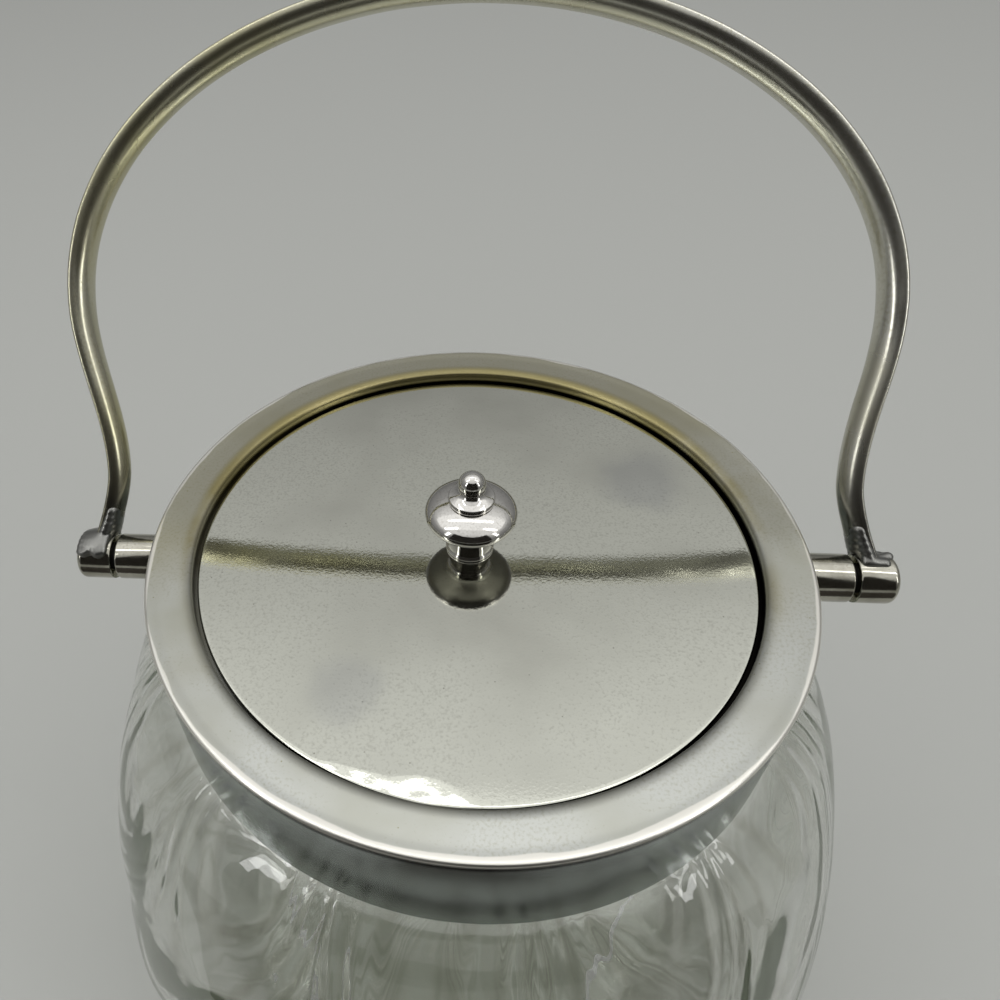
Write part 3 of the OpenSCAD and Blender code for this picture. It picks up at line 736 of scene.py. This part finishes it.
LID_BEVEL_W = 0.8
LID_BEVEL_DROP = 0.07
DENT_FROM = math.radians(-124)     # the dented stretch of the rim, left of the front
DENT_TO = math.radians(-87)
DENT_W = 4.2
DENT_SLOPE = 0.085
DENT_FOLDS = 6.5                   # how quickly the dent's width changes along the rim
CRUMPLE = 3                        # size of the small bumps in the dent
LID_WAVE, LID_WAVE_SIZE = 0.02, 24


def lid_surface(r, z, angle):
    """A spun sheet is never quite flat: its rim turns down, and the front left of it is dented."""
    if z < LID_TOP - LID_T * 0.6:
        return r, z
    turn = (angle + math.pi) % (2 * math.pi) - math.pi
    spot = Vector((r * math.cos(angle), r * math.sin(angle), 0))
    wave = LID_WAVE * noise.noise(spot / LID_WAVE_SIZE)
    bevel = LID_BEVEL_DROP * max(0, (r - LID_R) / LID_BEVEL_W + 1) ** 1.3
    spread = ease(turn, DENT_FROM, DENT_FROM + 0.3) * (1 - ease(turn, DENT_TO - 0.09, DENT_TO))
    width = DENT_W * spread * (0.8 + 0.5 * noise.noise(Vector((angle * DENT_FOLDS, 0.4, 0))))
    dent = DENT_SLOPE * max(0, r - LID_R + width) * (1 + 0.4 * noise.noise(spot / CRUMPLE))
    return r, z + wave - max(bevel, dent)


def make_lid():
    edge = LID_T * 0.35
    outline = [(0, LEDGE_TOP)] + line((0, LEDGE_TOP), (LID_R - edge, LEDGE_TOP), 6)
    outline += arc((LID_R - edge, LEDGE_TOP + edge), edge, edge, -90, 0, 4)[1:]
    outline += arc((LID_R - edge, LID_TOP - edge), edge, edge, 0, 90, 6)
    outline += line(outline[-1], (LID_R - 7, LID_TOP), 40) + line((LID_R - 7, LID_TOP), (0, LID_TOP), 30)
    piece = turned("lid_sheet", outline, lid_silver, SHEET_TURNS, lid_surface)
    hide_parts("lid_plate")
    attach(piece, "lid")


make_lid()

# ---- knob ----

DISC_R = knob_high.x
DISC_Z = 8.8
DOME_H = 3.3
FOOT_R = 4.45
WAIST_R = 3.6
BELL_R = 4.15
BALL_R = 2.5
BALL_NECK_R = 2.1
KNOB_TURNS = 160


def knob_outline():
    """The turner's profile: foot, waist, mushroom disc, bell and ball, above the lid."""
    bell_z = DISC_Z + DOME_H * math.sqrt(1 - (BELL_R / DISC_R) ** 2)
    rim_z = bell_z + 1.2
    bell_top = rim_z + 1.3
    ball_z = bell_top + math.sqrt(BALL_R**2 - BALL_NECK_R**2)
    points = [(0, 0), (FOOT_R - 0.1, 0), (FOOT_R, 0.1), (FOOT_R, 0.5), (FOOT_R - 0.12, 0.66)]
    points.append((FOOT_R - 0.25, 0.78))
    points += cubic(points[-1], (FOOT_R - 0.35, 2.0), (WAIST_R + 0.1, 3.2), (WAIST_R, 4.6), 14)
    points += cubic(points[-1], (WAIST_R, 6.6), (DISC_R, DISC_Z - 2.4), (DISC_R, DISC_Z), 24)
    points += [p for p in arc((0, DISC_Z), DISC_R, DOME_H, 3, 90, 44) if p[0] > BELL_R - 0.4]
    points += [(BELL_R - 0.45, bell_z + 0.12), (BELL_R - 0.1, bell_z + 0.16), (BELL_R, bell_z + 0.28)]
    points += [(BELL_R, rim_z - 0.1), (BELL_R - 0.06, rim_z)]
    points += cubic(points[-1], (BELL_R - 0.9, rim_z + 0.25), (BALL_NECK_R + 0.25, bell_top - 0.6),
                    (BALL_NECK_R, bell_top), 12)
    start = -math.degrees(math.asin((ball_z - bell_top) / BALL_R))
    points += arc((0, ball_z), BALL_R, BALL_R, start + 4, 90, 26)[:-1] + [(0, ball_z + BALL_R)]
    return [(r, z + LID_TOP) for r, z in points]


def make_knob():
    piece = turned("turned_knob", knob_outline(), knob_silver, KNOB_TURNS, sharp=45)
    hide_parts("knob")
    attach(piece, "lid")


make_knob()

# ---- bosses and hubs ----

HUB_ROUND = 1.2
HUB_BEND = 82      # how far its outer edge is rounded before the slightly domed end, in degrees
BOSS_EDGE = 0.35
HUB_TURNS = 96


def make_boss(side, name):
    start = math.sqrt(SKIRT_R**2 - BOSS_R**2) - 0.3
    end = boss_high.x
    outline = [(0, start), (BOSS_R, start), (BOSS_R, end - BOSS_EDGE)]
    outline += arc((BOSS_R - BOSS_EDGE, end - BOSS_EDGE), BOSS_EDGE, BOSS_EDGE, 0, 90, 5) + [(0, end)]
    piece = to_pivot(turned("trunnion_" + name, outline, hub_silver, HUB_TURNS), side)
    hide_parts("boss_" + name)
    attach(piece, "jar")


def make_hub(side, name):
    outline = [(0, HUB_IN), (BOSS_R - BOSS_EDGE, HUB_IN)]
    outline += arc((BOSS_R - BOSS_EDGE, HUB_IN + BOSS_EDGE), BOSS_EDGE, BOSS_EDGE, -90, 0, 5)
    outline += arc((BOSS_R - HUB_ROUND, HUB_OUT - HUB_ROUND), HUB_ROUND, HUB_ROUND, 0, HUB_BEND, 10)
    outline.append((0, HUB_OUT))
    piece = to_pivot(turned("hub_end_" + name, outline, hub_silver, HUB_TURNS), side)
    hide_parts("hub_" + name)
    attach(piece, "handle")


for side, name in ((-1, "left"), (1, "right")):
    make_boss(side, name)
    make_hub(side, name)

# ---- bail ----

BAIL_HALF = 75.6
BAIL_H = 105.3
WIDE_Z = 50.0
FOOT_X = HUB_IN + 0.6 * (HUB_OUT - HUB_IN)
WAIST_X = FOOT_X - 4.1
WAIST_Z = 17.0
FOOT_Z = 2.7
SWAY = -3.5
SWAY_CURL = 1.3
REST_LEAN = math.radians(36)
BAR_W = 6.9
BAR_FOOT_W = 5.6
BAR_T = 3.9
BAR_FOOT_T = 3.2
BAR_CORNER = 0.7
BAR_UNEVEN, UNEVEN_SIZE = 0.16, 14
SWING_CLEAR = 0.45
FOOT_STEPS, SIDE_STEPS, ARCH_STEPS = 12, 30, 90


def bail_path():
    """Outer face of the bail in its own plane: x across, y up from the pivot line, from foot to foot."""
    half = []
    for i in range(FOOT_STEPS):
        z = FOOT_Z + (WAIST_Z - FOOT_Z) * i / FOOT_STEPS
        half.append((WAIST_X + (FOOT_X - WAIST_X) * ((WAIST_Z - z) / (WAIST_Z - FOOT_Z)) ** 1.5, z))
    for i in range(SIDE_STEPS):
        t = i / SIDE_STEPS
        middle, swing_out = (BAIL_HALF + WAIST_X) / 2, (BAIL_HALF - WAIST_X) / 2
        half.append((middle - swing_out * math.cos(math.pi * t), WAIST_Z + (WIDE_Z - WAIST_Z) * t))
    half += arc((0, WIDE_Z), BAIL_HALF, BAIL_H - WIDE_Z, 0, 90, ARCH_STEPS)
    whole = [(-x, z) for x, z in half[:-1]] + half[::-1]
    return [(x + SWAY * (z / BAIL_H) ** SWAY_CURL, z) for x, z in whole]


def bail_tree():
    """Sweeps a half-round bar, flat face out, along a curve in the XY plane, a little uneven as if bent by
    hand."""
    tree = bpy.data.node_groups.new("half_round_bar", "GeometryNodeTree")
    face = tree.interface
    face.new_socket("Path", in_out="INPUT", socket_type="NodeSocketGeometry")
    for label, value in (("Bar width", BAR_W), ("Foot width", BAR_FOOT_W), ("Thickness", BAR_T),
                         ("Foot thickness", BAR_FOOT_T), ("Corner", BAR_CORNER), ("Full size from", WIDE_Z),
                         ("Unevenness", BAR_UNEVEN)):
        face.new_socket(label, in_out="INPUT", socket_type="NodeSocketFloat").default_value = value * MM
    face.new_socket("Metal", in_out="INPUT", socket_type="NodeSocketMaterial")
    face.new_socket("Bar", in_out="OUTPUT", socket_type="NodeSocketGeometry")
    given = add(tree, "NodeGroupInput").outputs
    here = add(tree, "GeometryNodeInputPosition")
    x, y, z = add(tree, "ShaderNodeSeparateXYZ", [here]).outputs

    # The section at full size: a flat face with small corners outside, half round inside.
    ring = add(tree, "GeometryNodeCurvePrimitiveCircle", {"Resolution": 72, "Radius": 1.0})
    across = add(tree, MATH, [given["Bar width"], 0.5], operation="MULTIPLY")
    across = add(tree, MATH, [across, x], operation="MULTIPLY")
    swell = add(tree, MATH, [given["Thickness"], given["Corner"]], operation="SUBTRACT")
    swell = add(tree, MATH, [swell, y], operation="MULTIPLY")
    flat = add(tree, MATH, [x], operation="ABSOLUTE")
    flat = add(tree, MATH, [flat, 10.0], operation="POWER")
    flat = add(tree, MATH, [1.0, flat], operation="SUBTRACT")
    flat = add(tree, MATH, [flat], operation="SQRT")
    flat = add(tree, MATH, [flat, given["Corner"]], operation="MULTIPLY")
    flat = add(tree, MATH, [flat, -1.0], operation="MULTIPLY")
    is_round = add(tree, MATH, [y, 0.0], operation="GREATER_THAN")
    profile = add(tree, MIX, {"Factor": is_round, "A": flat, "B": swell})
    depth = add(tree, MATH, [profile, given["Corner"]], operation="ADD")
    deep = add(tree, "GeometryNodeCaptureAttribute", [ring])
    deep.capture_items.new("FLOAT", "Depth")
    tree.links.new(depth.outputs[0], deep.inputs["Depth"])
    placed = add(tree, "ShaderNodeCombineXYZ", [depth, across])
    section = add(tree, "GeometryNodeSetPosition", {"Geometry": deep, "Position": placed})

    # The sweep keeps the section's depth and the path's direction for the taper.
    along = add(tree, "GeometryNodeCaptureAttribute", [given["Path"]])
    along.capture_items.new("VECTOR", "Along")
    tree.links.new(add(tree, "GeometryNodeInputTangent").outputs[0], along.inputs["Along"])
    upright = add(tree, "GeometryNodeSetCurveNormal", [along], mode="Z_UP")
    bar = add(tree, "GeometryNodeCurveToMesh", {
        "Curve": upright, "Profile Curve": section, "Fill Caps": True})

    # Towards the feet the bar gets narrower, and thinner on its round side.
    rise = add(tree, MATH, [y, given["Full size from"]], operation="DIVIDE")
    rise = add(tree, MATH, [rise, 1.0], operation="MINIMUM")
    foot_share = add(tree, MATH, [given["Foot width"], given["Bar width"]], operation="DIVIDE")
    width = add(tree, MIX, {"Factor": rise, "A": foot_share, "B": 1.0})
    width = add(tree, MATH, [width, z], operation="MULTIPLY")
    tapered = add(tree, "ShaderNodeCombineXYZ", [x, y, width])
    thinner = add(tree, MATH, [given["Foot thickness"], given["Thickness"]], operation="DIVIDE")
    thinner = add(tree, MATH, [thinner, 1.0], operation="SUBTRACT")
    thinner = add(tree, MATH, [thinner, deep.outputs["Depth"]], operation="MULTIPLY")
    lack = add(tree, MATH, [1.0, rise], operation="SUBTRACT")
    thinner = add(tree, MATH, [thinner, lack], operation="MULTIPLY")
    way = add(tree, "ShaderNodeSeparateXYZ", [along.outputs["Along"]]).outputs
    outward = add(tree, MATH, [way["X"], -1.0], operation="MULTIPLY")
    inward = add(tree, "ShaderNodeCombineXYZ", [way["Y"], outward])
    drawn_out = add(tree, "ShaderNodeVectorMath", {0: inward, "Scale": thinner}, operation="SCALE")
    sized = add(tree, "ShaderNodeVectorMath", [tapered, drawn_out], operation="ADD")
    wobble = add(tree, NOISE, {"Vector": here, "Scale": per_mm(UNEVEN_SIZE), "Detail": 1.0}).outputs["Color"]
    shift = add(tree, "ShaderNodeVectorMath", [wobble, (0.5, 0.5, 0.5)], operation="SUBTRACT")
    shift = add(tree, "ShaderNodeVectorMath", {0: shift, "Scale": given["Unevenness"]}, operation="SCALE")
    moved = add(tree, "GeometryNodeSetPosition", {"Geometry": bar, "Position": sized, "Offset": shift})
    plain = add(tree, "GeometryNodeRealizeInstances", [moved])
    clad = add(tree, "GeometryNodeSetMaterial", {"Geometry": plain, "Material": given["Metal"]})
    add(tree, "NodeGroupOutput", {"Bar": clad})
    return tree


def grow(name, data, tree, settings, material, sharp=40):
    """Run a node tree on a curve or mesh and give its result as a plain mesh object."""
    start = bpy.data.objects.new(name, data)
    bpy.context.scene.collection.objects.link(start)
    modifier = start.modifiers.new("grow", "NODES")
    modifier.node_group = tree
    for item in tree.interface.items_tree:
        if item.in_out == "INPUT" and item.name in settings:
            modifier[item.identifier] = settings[item.name]
    shaped = start.evaluated_get(bpy.context.evaluated_depsgraph_get())
    mesh = bpy.data.meshes.new_from_object(shaped)
    start.modifiers.clear()
    bpy.data.objects.remove(start)
    dress(mesh, material, sharp)
    piece = bpy.data.objects.new(name, mesh)
    bpy.context.scene.collection.objects.link(piece)
    return piece


def from_bail_plane():
    """From the bail's own plane to its place: up along Z, then leaning back about the pivot line."""
    lean = Matrix.Rotation(-REST_LEAN, 4, "X") @ Matrix.Rotation(math.radians(90), 4, "X")
    return Matrix.Translation((0, 0, PIVOT_Z * MM)) @ lean


def clear_of_bosses(mesh):
    """Hollow the feet where they pass over the bosses, so that the bail can swing."""
    room = (BOSS_R + SWING_CLEAR) * MM
    for vert in mesh.vertices:
        reach = math.hypot(vert.co.y, vert.co.z)
        if abs(vert.co.x) < (HUB_IN + 0.02) * MM and reach < room:
            grown = room / max(reach, 0.01 * MM)
            vert.co.y *= grown
            vert.co.z *= grown


def make_bail():
    path = bail_path()
    curve = bpy.data.curves.new("bail_path", "CURVE")
    curve.dimensions = "3D"
    spline = curve.splines.new("POLY")
    spline.points.add(len(path) - 1)
    for point, (x, y) in zip(spline.points, path):
        point.co = (x * MM, y * MM, 0, 1)
    piece = grow("half_round_bail", curve, bail_tree(), {"Metal": bail_silver}, bail_silver, sharp=50)
    clear_of_bosses(piece.data)
    piece.data.transform(from_bail_plane())
    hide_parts("bail")
    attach(piece, "handle")


make_bail()

# ---- solder ----

LUMP_RADIUS = 1.32
BALL_RESOLUTION = 0.2
BALL_THRESHOLD = 0.6
FOOT_TOP = 11          # the solder creeps so far up the bar's foot, from the pivot line
FOOT_FADE = (4, 10.5)  # heights between which it thins out
DOME_LUMPS = 8         # of the left dome, along the hub
DOME_ROWS = 9          # of them, side by side round the hub
DOME_THICK = 1.45      # at its middle lump, DOME_CROWN
DOME_CROWN = 3
DOME_BACK = -42        # its upper edge, in degrees behind the bail's plane
DOME_FRONT = 68        # its lower edge in front
DOME_WAVE = 5          # how far that edge waves
FLARE_LUMPS = 7        # of the right flare, along the hub
FLARE_SIDE = 36        # how far it reaches to each side of the bail's plane, in degrees
FLARE_STEP = 18


def solder_lumps(side):
    """Place and reach of the lumps, in the bail's plane: up the bar's foot, and over the hub."""
    lumps = []
    for x, z in bail_path():
        if x * side > 0 and FOOT_Z < z < FOOT_TOP:
            swell = 1 - ease(z, *FOOT_FADE)
            half = BAR_FOOT_T / 2
            reach = (1.3 * half + 0.6 * swell, 1.5, 0.66 * BAR_FOOT_W + 0.5 * swell)
            lumps.append(((x - side * half, z, 0), reach))
    if side < 0:
        # A dome that hides the hub's whole top, with a wavy lower edge.
        for i in range(DOME_LUMPS):
            x = side * (HUB_IN + 1.3 + i * (HUB_OUT - HUB_IN - 2.3) / (DOME_LUMPS - 1))
            tall = DOME_THICK - 0.03 * (i - DOME_CROWN) ** 2
            edge = DOME_FRONT + DOME_WAVE * math.sin(i * 1.3)
            reach = BOSS_R - 0.1
            for j in range(DOME_ROWS):
                way = math.radians(DOME_BACK + (edge - DOME_BACK) * j / (DOME_ROWS - 1))
                lumps.append(((x, reach * math.cos(way), reach * math.sin(way)), (1.0, tall, tall)))
        return lumps
    # The bar's foot flares onto the hub, and a separate bead stands at its outer end.
    for i in range(FLARE_LUMPS):
        x = HUB_IN + 1.2 + i * (FOOT_X + 0.6 - HUB_IN - 1.2) / (FLARE_LUMPS - 1)
        for turn in range(-FLARE_SIDE, FLARE_SIDE + 1, FLARE_STEP):
            way = math.radians(turn)
            out = BOSS_R - 0.3
            lumps.append(((x, out * math.cos(way), out * math.sin(way)), (1.0, 1.15, 1.15)))
    lumps.append(((HUB_OUT - 1.4, BOSS_R - 0.1, 1.0), (1.3, 1.2, 1.3)))
    return lumps


def make_solder(side, name):
    """Soft solder: a lump that has flowed over the hub and crept up the foot of the bar. Metaballs don't get
    fine enough in metres, so they are made in millimetres."""
    balls = bpy.data.metaballs.new("solder_" + name)
    balls.resolution = balls.render_resolution = BALL_RESOLUTION
    balls.threshold = BALL_THRESHOLD
    for place, reach in solder_lumps(side):
        lump = balls.elements.new(type="ELLIPSOID")
        lump.co = place
        lump.radius = LUMP_RADIUS
        lump.size_x, lump.size_y, lump.size_z = reach
    source = bpy.data.objects.new("solder_source_" + name, balls)
    bpy.context.scene.collection.objects.link(source)
    shaped = source.evaluated_get(bpy.context.evaluated_depsgraph_get())
    mesh = bpy.data.meshes.new_from_object(shaped)
    bpy.data.objects.remove(source)
    mesh.transform(Matrix.Scale(MM, 4))
    clear_of_bosses(mesh)
    mesh.transform(from_bail_plane())
    dress(mesh, solder_grey, 60)
    piece = bpy.data.objects.new("solder_run_" + name, mesh)
    bpy.context.scene.collection.objects.link(piece)
    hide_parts("solder_" + name)
    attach(piece, "handle")


for side, name in ((-1, "left"), (1, "right")):
    make_solder(side, name)

# ---- the smaller fittings keep their solids and get their metal ----

FITTINGS = {
    "plaster_bedding": plaster, "lid_flange": lid_silver, "spacer_left": gap_shade_black, "spacer_right": gap_shade_black,
    "pin_washer_left": turned_brass, "pin_washer_right": turned_brass, "knob_stud": turned_brass,
    "knob_washer": turned_brass, "knob_nut": turned_brass, "pin_left": pin_steel, "pin_right": pin_steel,
}
for node_name, metal in FITTINGS.items():
    for material_slot in frame["nodes"][node_name].material_slots:
        material_slot.material = metal
